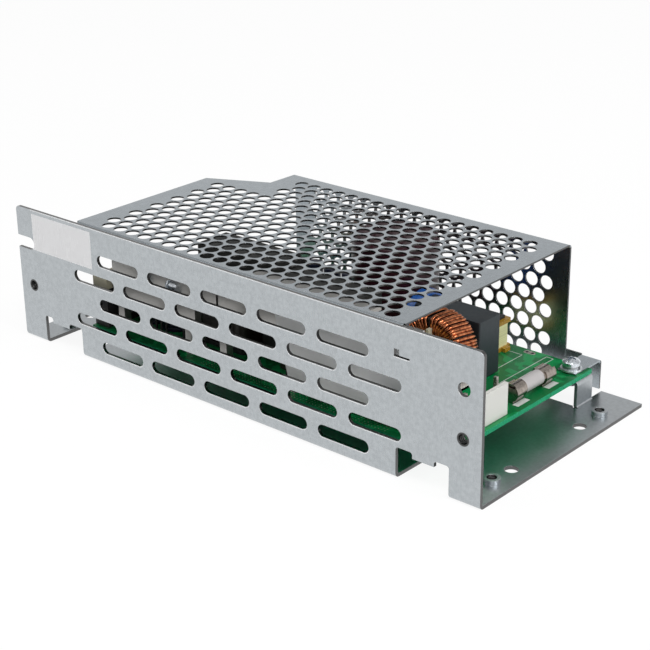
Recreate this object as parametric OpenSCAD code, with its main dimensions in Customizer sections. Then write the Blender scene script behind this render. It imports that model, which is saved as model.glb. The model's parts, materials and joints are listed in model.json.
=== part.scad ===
// Open frame switching power supply.
// A folded sheet chassis with a slotted front wall carries a circuit board, under a folded, perforated cover.
// Millimetres. X runs along the front wall, Y from the front wall to the back, Z up from the underside.
// Positions are measured from the left end of the front wall's outer face; place() centres the object on its base.

/* [Chassis] */
// Length of the front wall and the base
panel_l = 204.4; // [184:0.1:230]
// Depth of the base, front face to rear edge
base_d = 90; // [82:0.1:96]
// Height of the front wall
panel_h = 50; // [46:0.1:56]
// Thickness of the chassis sheet
sheet_t = 1.2; // [1:0.1:1.5]
// Gap between the base and the circuit board
board_gap = 9.3; // [9:0.1:9.8]

/* [Ventilation] */
// Length of a slot in the front wall, end to end
slot_l = 20.5; // [12:0.1:21.5]
// Width of a slot in the front wall
slot_w = 4.2; // [3:0.1:5]
// Diameter of a hole in the cover
vent_d = 4.9; // [3:0.1:5.2]

/* [Cover] */
// Thickness of the cover sheet
cover_t = 0.6; // [0.5:0.1:1]
// Distance of the cover's right edge from the right end of the front wall
cover_right = 29.9; // [29:0.1:31]

/* [Circuit board] */
// Thickness of the board
board_t = 1.6; // [1.2:0.1:2]

/* [Components] */
// Diameter of the bulk capacitor
bulk_d = 30; // [22:0.5:30]
// Clearance between the bulk capacitor and the cover
bulk_gap = 1.9; // [1:0.1:12]
// Diameter over the windings of the input choke
choke_d = 23.8; // [22:0.1:24.4]
// Turns on each of the input choke's two windings
choke_turns = 22; // [12:1:24]
// Length of the fuse
fuse_l = 20; // [18:0.1:21]
// Height of the interference capacitor
xcap_h = 20.7; // [14:0.1:24]
// Diameter of the surge absorber
varistor_d = 20; // [10:0.5:20]
// Height of an output capacitor
outcap_h = 20; // [10:0.5:20]

/* [Hidden] */
$fn = 48;
eps = 0.01;

// Chassis
bend_in = 0.6;
bend_out = bend_in + sheet_t;
corner_r = 1.5;
relief_r = 1;
base_notch_d = 17;
wing_w = 15.5;
base_rear = base_d - 15.6;
foot_l_w = 11.6;
foot_r_w = 11.4;
fold_x0 = 31.4;
fold_x1 = panel_l - 31.3;
notch_low = 8.7;
notch_high = 10.7;
slot_pitch = 25;
slot_x0 = 39.9;
slot_margin = 39;
slot_columns = floor((panel_l - slot_x0 - slot_margin) / slot_pitch) + 1;
slot_z0 = 6.7;
slot_row_pitch = 8.05;
slot_rows = 5;
ear_hole_r = 2.25;
ear_hole_z = 36.9;
ear_thread_z = 21.1;
ear_inset = 6.6;
thread_r = 1.65;
collar_r = 2.7;
collar_h = 1.6;
base_thread_y = [15, base_d - 15.5];
base_hole_y = [25.2, base_d - 27];
base_hole_r = 2.25;

// Circuit board
board_x0 = 34;
board_x1 = panel_l - 15.1;
board_y0 = 3;
board_y1 = base_d - 7.5;
board_z0 = sheet_t + board_gap;
board_z1 = board_z0 + board_t;
board_inset = 4.5;
screw_y = base_d - 13;
screw_l_x = board_x0 + board_inset;
screw_r_x = board_x1 - board_inset;
standoff_at = [[screw_l_x, 38], [board_x1 - 19.3, 31.5]];
board_hole_r = 1.7;

// Legs that the base folds up under the board's rear corners
leg_w = 9;
leg_r_y0 = base_d - 16;
leg_r_x = board_x1 + 0.2;
leg_relief = 0.6;
tap_r = 1.25;
tap_collar_r = 2.4;
tap_collar_h = 1.8;

// Stand-offs and screws, M3
standoff_af = 5.5;
standoff_shank_r = 2.1;
screw_r = 1.25;
screw_head_r = 2.95;
screw_head_h = 2.5;
screw_dome_r = 4;
screw_l = 6;
recess_w = 0.8;
recess_l = 3.2;
recess_h = 1.2;
lock_washer_r = 3;
lock_washer_t = 1;
lock_gap = 0.7;
flat_washer_r = 3.6;
flat_washer_t = 0.6;
washer_hole_r = 1.6;

// Cover
cover_in = 0.8;
cover_out = cover_in + cover_t;
cover_x0 = 30.2;
cover_x1 = panel_l - cover_right;
cover_y0 = sheet_t;
cover_z1 = panel_h;
corner_y = 24.7;
corner_x = 22.5;
rear_x0 = 53;
rear_z0 = 2;
flange_h = 7.5;
flange_x0 = 31;
tab_z1 = board_z1 + cover_t;
tab_w = 7;
tab_y0 = base_d - 15.8;
tab_relief = 0.6;
vent_px = 5.92;
vent_py = 5.05;
vent_y0 = 6.33;
vent_x0 = 42.28;
vent_margin_right = 5.3;
vent_rows = floor((base_d - 7.8 - vent_y0) / vent_py) + 1;
vent_columns = floor((cover_x1 - vent_margin_right - vent_d / 2 - vent_x0) / vent_px) + 1;
vent_cut_row = 12;
vent_cut_column = 4;
rear_vent_x1 = cover_x1 - 8.8;
rear_vent_x2 = cover_x1 - 11.8;
rear_vent_top = panel_h - 5.4;
rear_vent_pitch = 5.07;
rear_vent_rows = floor((rear_vent_top - rear_z0 - vent_d / 2 - 1) / rear_vent_pitch) + 1;
rear_vent_columns = floor((rear_vent_x2 - rear_x0 - 8.5) / vent_px) + 1;

// Input connector and fuse, near the board's right edge
inlet_x1 = board_x1 - 1.8;
inlet_x0 = inlet_x1 - 9.5;
inlet_y0 = 17.4;
inlet_y1 = 37.1;
inlet_base_h = 3.6;
inlet_wall_h = 10.8;
inlet_wall_t = 1.4;
inlet_pin_w = 1.14;
inlet_pin_h = 12.4;
inlet_pin_in = 6.2;
inlet_pin_pitch = 7.92;
fuse_x = board_x1 - 5.7;
fuse_y = (inlet_y1 + tab_y0) / 2 - 1;
fuse_z = board_z1 + 3.6;
fuse_tube_r = 2.5;
fuse_cap_t = 0.15;
fuse_cap_l = 5.2;
clip_t = 0.4;
clip_l = 4.4;
clip_open = 42;
clip_foot_w = 2.4;
clip_play = 0.3;
clip_stop_top = 1.6;

// Interference filter
xcap_x1 = board_x1 - 22;
xcap_l = 26.5;
xcap_y0 = 49.8;
xcap_w = 11.2;
xcap_foot_h = 0.5;
xcap_round = 0.6;
choke_x = board_x1 - 31.8;
choke_y0 = 36.8;
choke_y1 = 48;
choke_wire = 1.2;
choke_core_r = choke_d / 2 - choke_wire;
choke_hole_r = 6.2;
choke_top_gap = 8;
choke_base_gap = 18;
choke_z = board_z1 + 12.9;
choke_turn_share = 0.72;
choke_base_t = 0.9;
choke_base_w = 19;
choke_base_y0 = choke_y0 - 1.8;
choke_post_w = 5.6;
divider_t = 1;
divider_lip = 3;
divider_top = 8;
tape_x0 = board_x1 - 43.3;
tape_y0 = base_d - 18;
tape_l = 12;
tape_w = 8;
tape_flange_t = 1.3;
tape_h = 8.2;
tape_core_h = 2.2;
tape_round = 1.6;
varistor_x = board_x1 - 51.2;
varistor_t = 4.6;
varistor_y = 59;
varistor_lift = 2.4;
varistor_z = board_z1 + varistor_lift + varistor_d / 2;
lead_r = 0.4;

// Power stage
bulk_x = board_x1 - 69.8;
bulk_y = base_d - 23.5;
bulk_h = cover_z1 - cover_t - bulk_gap - board_z1;
bulk_round = 1.6;
bulk_groove = 0.7;
sink_y0 = 6.7;
sink_t = 3;
sink_y1 = sink_y0 + sink_t;
sink_top = panel_h - 4;
secondary_x0 = board_x0 + 8;
secondary_low_x1 = board_x0 + 48.2;
secondary_x1 = board_x0 + 58.5;
primary_x0 = secondary_x1 + 1;
primary_low_x0 = board_x1 - 65.3;
primary_x1 = board_x1 - 13.3;
primary_step_z = panel_h - 19;
primary_flange_x0 = primary_x0 + 9.3;
primary_flange_x1 = board_x1 - 35.3;
primary_flange_w = 10;
primary_flange_t = 1.5;
secondary_low_z = board_z1 + 11.4;
sink_leg_w = 3;
device_w = 10;
device_h = 15.5;
device_t = 3.2;
device_tab_h = 6.3;
device_tab_t = 1.3;
device_lead_w = 0.8;
device_lead_t = 0.5;
device_lead_pitch = 2.54;
device_lead_dy = 1.6;
device_hole_up = device_h - device_tab_h / 2;
primary_device_z = primary_step_z - 3;
secondary_devices = [board_x0 + 24.9, board_x0 + 38.5];
secondary_hole_z = panel_h - 15.5;
primary_devices = [board_x1 - 69, board_x1 - 56, board_x1 - 43];
bridge_x0 = board_x1 - 38;
bridge_l = 21;
bridge_h = 18;
bridge_t = 3.6;
bridge_lift = 5;
film_x0 = board_x1 - 49;
film_l = 27;
film_y0 = 17;
film_w = 11;
film_h = 16;
film_round = 1.2;
wound_gap = 1.8;
wound_x0 = board_x0 + 30.5;
wound_l = (film_x0 - 4 - wound_x0 - wound_gap) / 2;
trafo_core_w = 14;
trafo_core_t = 5.5;
trafo_x0 = wound_x0 + trafo_core_t;
trafo_l = wound_l - 2 * trafo_core_t;
trafo_y0 = 17;
trafo_w = base_d - 57;
trafo_h = 31;
trafo_flange_t = 1.6;
trafo_round = 4;
bobbin_round = 1.5;
boost_x0 = wound_x0 + wound_l + wound_gap;
boost_l = wound_l;
boost_y0 = 17.5;
boost_w = bulk_y - bulk_d / 2 - 4 - boost_y0;
boost_h = 28;
boost_core_w = 12;
boost_core_t = 6;
boost_round = 5;

// Output side, near the board's left edge
outcap_d = 10;
outcap_x = [board_x0 + 13.5, board_x0 + 24.4];
outcap_y = [20.5, 31.5];
outcap_round = 0.8;
outcap_groove = 0.35;
ring_x = board_x0 + 18.5;
ring_y = 48.5;
ring_r = 9;
ring_hole_r = 4.6;
ring_h = 8;
ring_wire = 1;
ring_turns = 20;
ring_turn_share = 0.75;
outlet_x0 = board_x0;
outlet_x1 = board_x0 + 7;
outlet_y0 = 4.5;
outlet_y1 = 28.5;
outlet_h = 18.4;
outlet_wall = 0.9;
outlet_base_h = 4;
outlet_pins = 6;
outlet_pin_pitch = 3.6;
outlet_pin_w = 0.9;
outlet_pin_h = 13;

// Small parts behind the transformer
thermistor_x = board_x1 - 17;
thermistor_y = 21;
thermistor_r = 6;
thermistor_t = 3.6;
control_x0 = board_x0 + 30;
control_x1 = bulk_x - bulk_d / 2 - 3.5;
chip_y = base_d - 32;
chip_l = 9.6;
chip_w = 6.4;
chip_h = 3.4;
chip_lift = 0.5;
chip_gap = 1;
opto_w = 4.6;
opto_l = 6.4;
opto_h = 3.5;
opto_x = control_x1 - opto_w;
chip_count = floor((opto_x - chip_gap - control_x0) / (chip_l + chip_gap));
resistor_l = 9;
resistor_r = 1.7;
resistor_span = 13;
resistor_pitch = 18;
resistor_x0 = board_x0 + 22;
resistor_y = [base_d - 22, base_d - 17.5];
resistor_columns = floor((control_x1 - resistor_x0 - resistor_span / 2) / resistor_pitch) + 1;
smallcap_d = 6.3;
smallcap_h = 11;
smallcap_round = 0.5;
smallcap_groove = 0.25;
smallcap_pitch = 8.5;
smallcap_y = base_d - 12;
smallcap_count = floor((control_x1 - control_x0 - smallcap_d) / smallcap_pitch) + 1;

// Origin at the middle of the base's underside
module place() {
    translate([-panel_l / 2, -base_d / 2, 0]) children();
}

// A block between two corners
module block(x0, x1, y0, y1, z0, z1) {
    translate([x0, y0, z0]) cube([x1 - x0, y1 - y0, z1 - z0]);
}

// An outline in X and Z made a wall that starts at y0
module wall_y(y0, t) {
    translate([0, y0 + t, 0]) rotate([90, 0, 0]) linear_extrude(t) children();
}

// An outline in Y and Z made a wall that starts at x0
module wall_x(x0, t) {
    translate([x0, 0, 0]) rotate([90, 0, 90]) linear_extrude(t) children();
}

// An outline in X and Y made a plate that starts at z0
module plate(z0, t) {
    translate([0, 0, z0]) linear_extrude(t) children();
}

// A rectangle between two corners
module rect(x0, x1, y0, y1) {
    translate([x0, y0]) square([x1 - x0, y1 - y0]);
}

// A rectangle with four round corners
module round_rect(x0, x1, y0, y1, r) {
    rect(x0 + r, x1 - r, y0, y1);
    rect(x0, x1, y0 + r, y1 - r);
    for (x = [x0 + r, x1 - r], y = [y0 + r, y1 - r]) translate([x, y]) circle(r);
}

// A cut open at the bottom with two round corners at its top
module relief(x0, x1, top) {
    rect(x0, x1, -1, top - relief_r);
    rect(x0 + relief_r, x1 - relief_r, -1, top);
    for (x = [x0 + relief_r, x1 - relief_r]) translate([x, top - relief_r]) circle(relief_r);
}

// A slot with round ends, centred
module slot(l, w) {
    square([l - w, w], center = true);
    for (s = [-1, 1]) translate([s * (l - w) / 2, 0]) circle(w / 2);
}

// A quarter of a ring: the section of a bend, in the quadrant that sx and sy point to
module bend(r_in, r_out, sx, sy) {
    intersection() {
        difference() {
            circle(r_out);
            circle(r_in);
        }
        rect(min(0, sx * r_out), max(0, sx * r_out), min(0, sy * r_out), max(0, sy * r_out));
    }
}

module front_wall_2d() {
    difference() {
        union() {
            rect(0, panel_l, bend_out, panel_h - corner_r);
            rect(corner_r, panel_l - corner_r, bend_out, panel_h);
            for (x = [corner_r, panel_l - corner_r]) translate([x, panel_h - corner_r]) circle(corner_r);
        }
        // Notches between the feet and the folded middle
        relief(foot_l_w, foot_l_w + 4.1, notch_high);
        relief(foot_l_w + 2.4, foot_l_w + 15, notch_low);
        relief(foot_l_w + 13, fold_x0, notch_high);
        relief(fold_x1, fold_x1 + 6.3, notch_high);
        relief(fold_x1 + 4.4, fold_x1 + 16.4, notch_low);
        relief(fold_x1 + 14.4, panel_l - foot_r_w, notch_high);
        // Ventilation slots, in two patterns of columns by turns
        for (row = [0:slot_rows - 1], i = [0:slot_columns - 1]) {
            odd = row % 2;
            if (odd == 1 || i < slot_columns - 1)
                translate([slot_x0 + (i + (1 - odd) / 2) * slot_pitch, slot_z0 + row * slot_row_pitch])
                    slot(slot_l, slot_w);
        }
        // Mounting slot, hole and tapped holes in the ears
        translate([1, ear_hole_z]) slot(2 * ear_inset + 2, 2 * ear_hole_r);
        translate([panel_l - ear_inset, ear_hole_z]) circle(ear_hole_r);
        for (x = [ear_inset, panel_l - ear_inset]) translate([x, ear_thread_z]) circle(thread_r);
        // Lanced window beside the slots
        rect(fold_x1 - 0.8, fold_x1 + 1.1, panel_h - 9.9, panel_h - 7.4);
        rect(fold_x1 + 0.5, fold_x1 + 5, panel_h - 9.9, panel_h - 9.3);
    }
}

module base_2d() {
    difference() {
        union() {
            rect(0, panel_l, bend_out, base_rear);
            rect(0, wing_w, bend_out, base_d);
            rect(panel_l - wing_w, panel_l, bend_out, base_d);
        }
        rect(foot_l_w, fold_x0, -1, base_notch_d);
        rect(fold_x1, panel_l - foot_r_w, -1, base_notch_d);
        for (x = [ear_inset, panel_l - ear_inset]) {
            for (y = base_thread_y) translate([x, y]) circle(thread_r);
            for (y = base_hole_y) translate([x, y]) circle(base_hole_r);
        }
        for (p = standoff_at) translate(p) circle(standoff_shank_r);
        // Reliefs where the rear legs fold up
        rect(panel_l - wing_w - 1, leg_r_x + bend_in, leg_r_y0 - leg_relief, leg_r_y0 + leg_w + leg_relief);
        rect(screw_l_x - leg_w / 2 - leg_relief, screw_l_x + leg_w / 2 + leg_relief,
            base_rear - bend_out, base_rear + 1);
    }
}

// A drawn collar with a tapped hole, standing on z = 0
module collar(r_out, r_in, h) {
    linear_extrude(h) difference() {
        circle(r_out);
        circle(r_in);
    }
}

// Right rear leg, folded from the wing, with its top turned in under the board
module right_leg() {
    tab_x0 = screw_r_x - 4.5;
    leg_top = board_z0 - bend_out;
    translate([0, leg_r_y0 + leg_w, 0]) rotate([90, 0, 0]) linear_extrude(leg_w) {
        translate([leg_r_x + bend_in, bend_out]) bend(bend_in, bend_out, -1, -1);
        rect(leg_r_x - sheet_t, leg_r_x, bend_out, leg_top);
        translate([leg_r_x - bend_out, leg_top]) bend(bend_in, bend_out, 1, 1);
    }
    plate(board_z0 - sheet_t, sheet_t) difference() {
        rect(tab_x0, leg_r_x - bend_out, leg_r_y0, leg_r_y0 + leg_w);
        translate([screw_r_x, screw_y]) circle(tap_r);
    }
    translate([screw_r_x, screw_y, board_z0 - sheet_t - tap_collar_h]) collar(tap_collar_r, tap_r, tap_collar_h);
}

// Left rear leg, folded from the base's rear edge, with its top turned back under the board
module left_leg() {
    leg_top = board_z0 - bend_out;
    wall_x(screw_l_x - leg_w / 2, leg_w) {
        translate([base_rear - bend_out, bend_out]) bend(bend_in, bend_out, 1, -1);
        rect(base_rear - sheet_t, base_rear, bend_out, leg_top);
        translate([base_rear + bend_in, leg_top]) bend(bend_in, bend_out, -1, 1);
    }
    plate(board_z0 - sheet_t, sheet_t) difference() {
        rect(screw_l_x - leg_w / 2, screw_l_x + leg_w / 2, base_rear + bend_in, board_y1 - 0.5);
        translate([screw_l_x, screw_y]) circle(tap_r);
    }
    translate([screw_l_x, screw_y, board_z0 - sheet_t - tap_collar_h]) collar(tap_collar_r, tap_r, tap_collar_h);
}

module chassis() {
    color("silver") place() {
        wall_y(0, sheet_t) front_wall_2d();
        for (span = [[0, foot_l_w], [fold_x0, fold_x1], [panel_l - foot_r_w, panel_l]])
            wall_x(span[0], span[1] - span[0])
                translate([bend_out, bend_out]) bend(bend_in, bend_out, -1, -1);
        plate(0, sheet_t) base_2d();
        for (x = [ear_inset, panel_l - ear_inset]) {
            for (y = base_thread_y) translate([x, y, sheet_t]) collar(collar_r, thread_r, collar_h);
            translate([x, sheet_t, ear_thread_z]) rotate([-90, 0, 0]) collar(collar_r, thread_r, collar_h);
        }
        right_leg();
        left_leg();
    }
}

module cover_top_2d() {
    difference() {
        polygon([
            [cover_x0, cover_y0 + cover_out], [cover_x0, base_d - corner_y],
            [cover_x0 + corner_x, base_d - corner_y + 10.9], [rear_x0, base_d - cover_out],
            [cover_x1, base_d - cover_out], [cover_x1, cover_y0 + cover_out]
        ]);
        for (j = [0:vent_rows - 1], i = [0:vent_columns - 1])
            if (j < vent_cut_row || i >= vent_cut_column)
                translate([vent_x0 + (i - (j % 2) / 2) * vent_px, vent_y0 + j * vent_py]) circle(vent_d / 2);
    }
}

module cover_rear_2d() {
    difference() {
        rect(rear_x0, cover_x1, rear_z0, cover_z1 - cover_out);
        for (row = [0:rear_vent_rows - 1], i = [0:rear_vent_columns - 1])
            translate([(row % 2 == 0 ? rear_vent_x1 : rear_vent_x2) - i * vent_px,
                rear_vent_top - row * rear_vent_pitch]) circle(vent_d / 2);
    }
}

// The cover is one folded sheet, given as four nodes that meet at its bends
module cover_top() {
    color("lightsteelblue") place() plate(cover_z1 - cover_t, cover_t) cover_top_2d();
}

// Rear wall, with the bend up to the top
module cover_rear_wall() {
    color("lightsteelblue") place() {
        wall_y(base_d - cover_t, cover_t) cover_rear_2d();
        wall_x(rear_x0, cover_x1 - rear_x0)
            translate([base_d - cover_out, cover_z1 - cover_out]) bend(cover_in, cover_out, 1, 1);
    }
}

// Flange that hooks behind the front wall
module cover_flange() {
    color("lightsteelblue") place() wall_x(flange_x0, cover_x1 - 0.5 - flange_x0) {
        translate([cover_y0 + cover_out, cover_z1 - cover_out]) bend(cover_in, cover_out, -1, 1);
        rect(cover_y0, cover_y0 + cover_t, cover_z1 - flange_h, cover_z1 - cover_out);
    }
}

// Tabs that the screws hold down on the board, each with its strip beside the rear wall
module cover_tabs() {
    ends = [[screw_l_x, -1, rear_x0], [screw_r_x, 1, cover_x1]];
    color("lightsteelblue") place() for (end = ends) {
        x = end[0];
        inner = x - end[1] * (tab_w / 2 + tab_relief);
        wall_x(x - tab_w / 2, tab_w)
            translate([base_d - cover_out, tab_z1 - cover_out]) bend(cover_in, cover_out, 1, 1);
        plate(board_z1, cover_t) difference() {
            rect(x - tab_w / 2, x + tab_w / 2, tab_y0, base_d - cover_out);
            translate([x, screw_y]) circle(board_hole_r);
        }
        wall_y(base_d - cover_t, cover_t) {
            rect(min(x + end[1] * tab_w / 2, end[2]), max(x + end[1] * tab_w / 2, end[2]), rear_z0, tab_z1 - cover_out);
            rect(min(inner, end[2]), max(inner, end[2]), rear_z0, tab_z1);
        }
    }
}

module circuit_board() {
    color("seagreen") place() plate(board_z0, board_t) difference() {
        rect(board_x0, board_x1, board_y0, board_y1);
        for (p = concat(standoff_at, [[screw_l_x, screw_y], [screw_r_x, screw_y]]))
            translate(p) circle(board_hole_r);
    }
}

module board_standoffs() {
    color("gainsboro") place() for (p = standoff_at) translate(p) difference() {
        union() {
            cylinder(r = standoff_shank_r, h = sheet_t + eps);
            translate([0, 0, sheet_t]) cylinder(d = standoff_af / cos(30), h = board_gap, $fn = 6);
        }
        translate([0, 0, sheet_t + 1]) cylinder(r = tap_r, h = board_gap);
    }
}

// A pan head screw with a cross recess, its head's underside at z = 0
module pan_screw(l) {
    difference() {
        union() {
            rotate_extrude() intersection() {
                square([screw_head_r, screw_head_h]);
                translate([0, screw_head_h - screw_dome_r]) circle(screw_dome_r);
            }
            translate([0, 0, -l]) cylinder(r = screw_r, h = l + eps);
        }
        for (a = [0, 90]) rotate([0, 0, a])
            translate([-recess_l / 2, -recess_w / 2, screw_head_h - recess_h]) cube([recess_l, recess_w, 2]);
    }
}

module board_screws() {
    color("lightgray") place() {
        for (p = standoff_at) translate([p[0], p[1], board_z1 + lock_washer_t]) pan_screw(screw_l);
        for (x = [screw_l_x, screw_r_x])
            translate([x, screw_y, tab_z1 + flat_washer_t + lock_washer_t]) pan_screw(screw_l);
    }
}

// A split spring washer on z = 0
module lock_washer() {
    linear_extrude(lock_washer_t) difference() {
        circle(lock_washer_r);
        circle(washer_hole_r);
        rect(0, lock_washer_r + 1, -lock_gap / 2, lock_gap / 2);
    }
}

module board_lock_washers() {
    color("darkgray") place() {
        for (p = standoff_at) translate([p[0], p[1], board_z1]) lock_washer();
        for (x = [screw_l_x, screw_r_x]) translate([x, screw_y, tab_z1 + flat_washer_t]) lock_washer();
    }
}

module board_flat_washers() {
    color("silver") place() for (x = [screw_l_x, screw_r_x])
        translate([x, screw_y, tab_z1]) collar(flat_washer_r, washer_hole_r, flat_washer_t);
}

// Input header: a base with a tall locking wall on its outer side
module input_connector() {
    color("ivory") place() difference() {
        union() {
            block(inlet_x0, inlet_x1, inlet_y0, inlet_y1, board_z1, board_z1 + inlet_base_h);
            block(inlet_x1 - inlet_wall_t, inlet_x1, inlet_y0, inlet_y1, board_z1, board_z1 + inlet_wall_h);
            for (y = [inlet_y0 + 4, inlet_y1 - 5.2])
                block(inlet_x1 - 3, inlet_x1, y, y + 1.2, board_z1, board_z1 + inlet_wall_h - 2);
        }
        for (i = [-1:1]) inlet_pin(i);
    }
}

module inlet_pin(i) {
    y = (inlet_y0 + inlet_y1) / 2 + i * inlet_pin_pitch;
    x = inlet_x0 + inlet_pin_in;
    block(x - inlet_pin_w / 2, x + inlet_pin_w / 2, y - inlet_pin_w / 2, y + inlet_pin_w / 2,
        board_z1, board_z1 + inlet_pin_h);
}

module input_pins() {
    color("gold") place() for (i = [-1:1]) inlet_pin(i);
}

// Turns a shape built along +Z so that it lies along +Y, centred on the fuse
module along_fuse() {
    translate([fuse_x, fuse_y, fuse_z]) rotate([-90, 0, 0]) children();
}

module fuse_tube() {
    color("whitesmoke") place() along_fuse() difference() {
        cylinder(r = fuse_tube_r, h = fuse_l - 2 * fuse_cap_t, center = true);
        cylinder(r = fuse_tube_r - 0.8, h = fuse_l, center = true);
    }
}

module fuse_caps() {
    color("lightgray") place() along_fuse() for (s = [0, 1]) mirror([0, 0, s])
        translate([0, 0, fuse_l / 2 - fuse_cap_l]) difference() {
            cylinder(r = fuse_tube_r + fuse_cap_t, h = fuse_cap_l);
            translate([0, 0, -1]) cylinder(r = fuse_tube_r, h = fuse_cap_l - fuse_cap_t + 1);
        }
}

// Section of a clip: two sprung arms round the cap, open at the top, on a foot
module clip_2d() {
    r_in = fuse_tube_r + fuse_cap_t;
    r_out = r_in + clip_t;
    mouth = r_out * tan(clip_open);
    difference() {
        union() {
            circle(r_out);
            rect(-clip_foot_w / 2, clip_foot_w / 2, board_z1 - fuse_z, -r_in);
        }
        circle(r_in);
        polygon([[0, 0], [-mouth, r_out], [-mouth, r_out + 2], [mouth, r_out + 2], [mouth, r_out]]);
    }
}

// The round plate that closes a clip behind the cap
module clip_stop_2d() {
    r_out = fuse_tube_r + fuse_cap_t + clip_t;
    difference() {
        union() {
            circle(r_out);
            rect(-clip_foot_w / 2, clip_foot_w / 2, board_z1 - fuse_z, 0);
        }
        rect(-2 * r_out, 2 * r_out, clip_stop_top, 2 * r_out);
    }
}

module fuse_clips() {
    arm_l = clip_l + clip_play + clip_t;
    color("gainsboro") place() translate([fuse_x, fuse_y, fuse_z]) for (s = [0, 1]) mirror([0, s, 0])
        translate([0, fuse_l / 2 + clip_play + clip_t, 0]) {
            wall_y(-arm_l, arm_l) clip_2d();
            wall_y(-clip_t, clip_t) clip_stop_2d();
        }
}

// Interference capacitor: a moulded box on two low feet
module x_capacitor() {
    color("darkslategray") place() {
        plate(board_z1 + xcap_foot_h, xcap_h - xcap_foot_h)
            round_rect(xcap_x1 - xcap_l, xcap_x1, xcap_y0, xcap_y0 + xcap_w, xcap_round);
        for (x = [xcap_x1 - xcap_l + 1, xcap_x1 - 3])
            block(x, x + 2, xcap_y0 + 0.8, xcap_y0 + xcap_w - 0.8, board_z1, board_z1 + xcap_foot_h + eps);
    }
}

// Input choke: everything on it turns round an axis along Y
module at_choke() {
    translate([choke_x, (choke_y0 + choke_y1) / 2, choke_z]) rotate([90, 0, 0]) children();
}

// Section of the core, grown by the thickness g
module choke_section(g) {
    w = choke_y1 - choke_y0 - 2 * choke_wire + 2 * g;
    round_rect(choke_hole_r - g, choke_core_r + g, -w / 2, w / 2, 0.6 + g);
}

module choke_core() {
    color("darkolivegreen") place() at_choke() rotate_extrude() choke_section(0);
}

// One winding: single turns side by side round the core, each a sector of the grown section
module choke_winding(a0) {
    step = (180 - choke_top_gap - choke_base_gap) / choke_turns;
    for (i = [0:choke_turns - 1])
        rotate([0, 0, a0 + (i + (1 - choke_turn_share) / 2) * step])
            rotate_extrude(angle = step * choke_turn_share) difference() {
                choke_section(choke_wire);
                choke_section(0);
            }
}

module choke_windings() {
    color("sienna") place() at_choke() {
        choke_winding(choke_base_gap - 90);
        choke_winding(90 + choke_top_gap);
    }
}

// Pale plate that parts the two windings: it fills the core's hole and ends in a lip in front of the core
module choke_divider() {
    core_y0 = choke_y0 + choke_wire;
    color("ivory") place() {
        block(choke_x - divider_t / 2, choke_x + divider_t / 2, core_y0 - divider_lip, core_y0,
            choke_z - choke_hole_r, choke_z + divider_top);
        translate([choke_x, 0, choke_z])
            wall_y(core_y0 - divider_t, choke_y1 - choke_wire - core_y0 + divider_t) intersection() {
                circle(choke_hole_r);
                square([divider_t, 3 * choke_hole_r], center = true);
            }
    }
}

// Carrier under the choke, with a post that reaches the core between the windings
module choke_base() {
    color("dimgray") place() {
        block(choke_x - choke_base_w / 2, choke_x + choke_base_w / 2, choke_base_y0, choke_y1 - 1.5,
            board_z1, board_z1 + choke_base_t);
        difference() {
            block(choke_x - choke_post_w / 2, choke_x + choke_post_w / 2, choke_y0 + 2.6, choke_y1 - 2.6,
                board_z1, choke_z - choke_core_r + 0.6);
            at_choke() cylinder(r = choke_core_r, h = 40, center = true);
        }
    }
}

// Small taped inductor behind the interference capacitor
module tape_choke_bobbin() {
    color("goldenrod") place() {
        for (z = [board_z1, board_z1 + tape_flange_t + tape_h])
            plate(z, tape_flange_t)
                round_rect(tape_x0 - 0.5, tape_x0 + tape_l + 0.5, tape_y0 - 0.4, tape_y0 + tape_w + 0.4, 0.8);
        block(tape_x0 + tape_l + 0.5, tape_x0 + tape_l + 2, tape_y0 + 3, tape_y0 + 6,
            board_z1, board_z1 + tape_flange_t);
    }
}

module tape_choke_core() {
    color("#403a30") place()
        plate(board_z1 + 2 * tape_flange_t + tape_h, tape_core_h - tape_flange_t)
            round_rect(tape_x0 + 1, tape_x0 + tape_l - 1, tape_y0 + 1, tape_y0 + tape_w - 1, 0.5);
}

module tape_choke_tape() {
    color("khaki") place() plate(board_z1 + tape_flange_t, tape_h)
        round_rect(tape_x0, tape_x0 + tape_l, tape_y0, tape_y0 + tape_w, tape_round);
}

// A dipped disc: round edged, standing across X or Y by the caller's turn
module dipped_disc(r, t) {
    rotate_extrude() {
        rect(0, r - t / 3, -t / 2, t / 2);
        rect(0, r, -t / 6, t / 6);
        for (s = [-1, 1]) translate([r - t / 3, s * t / 6]) circle(t / 3);
    }
}

module surge_absorber() {
    color("royalblue") place()
        translate([varistor_x, varistor_y, varistor_z]) rotate([0, 90, 0]) dipped_disc(varistor_d / 2, varistor_t);
}

module surge_absorber_leads() {
    color("silver") place() for (s = [-1, 1])
        translate([varistor_x, varistor_y + s * 3.5, board_z1]) difference() {
            cylinder(r = lead_r, h = varistor_z - board_z1);
            translate([0, -s * 3.5, varistor_z - board_z1]) rotate([0, 90, 0])
                cylinder(r = varistor_d / 2, h = 2, center = true);
        }
}

// A can with a rolled groove near its foot and a rounded top edge
module can(d, h, round, groove) {
    r = d / 2;
    rotate_extrude() difference() {
        union() {
            rect(0, r, 0, h - round);
            rect(0, r - round, 0, h);
            translate([r - round, h - round]) circle(round);
        }
        translate([r + groove, 4 * groove]) circle(2 * groove);
    }
}

module bulk_capacitor() {
    color("#3a0f1a") place() translate([bulk_x, bulk_y, board_z1]) can(bulk_d, bulk_h, bulk_round, bulk_groove);
}

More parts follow.
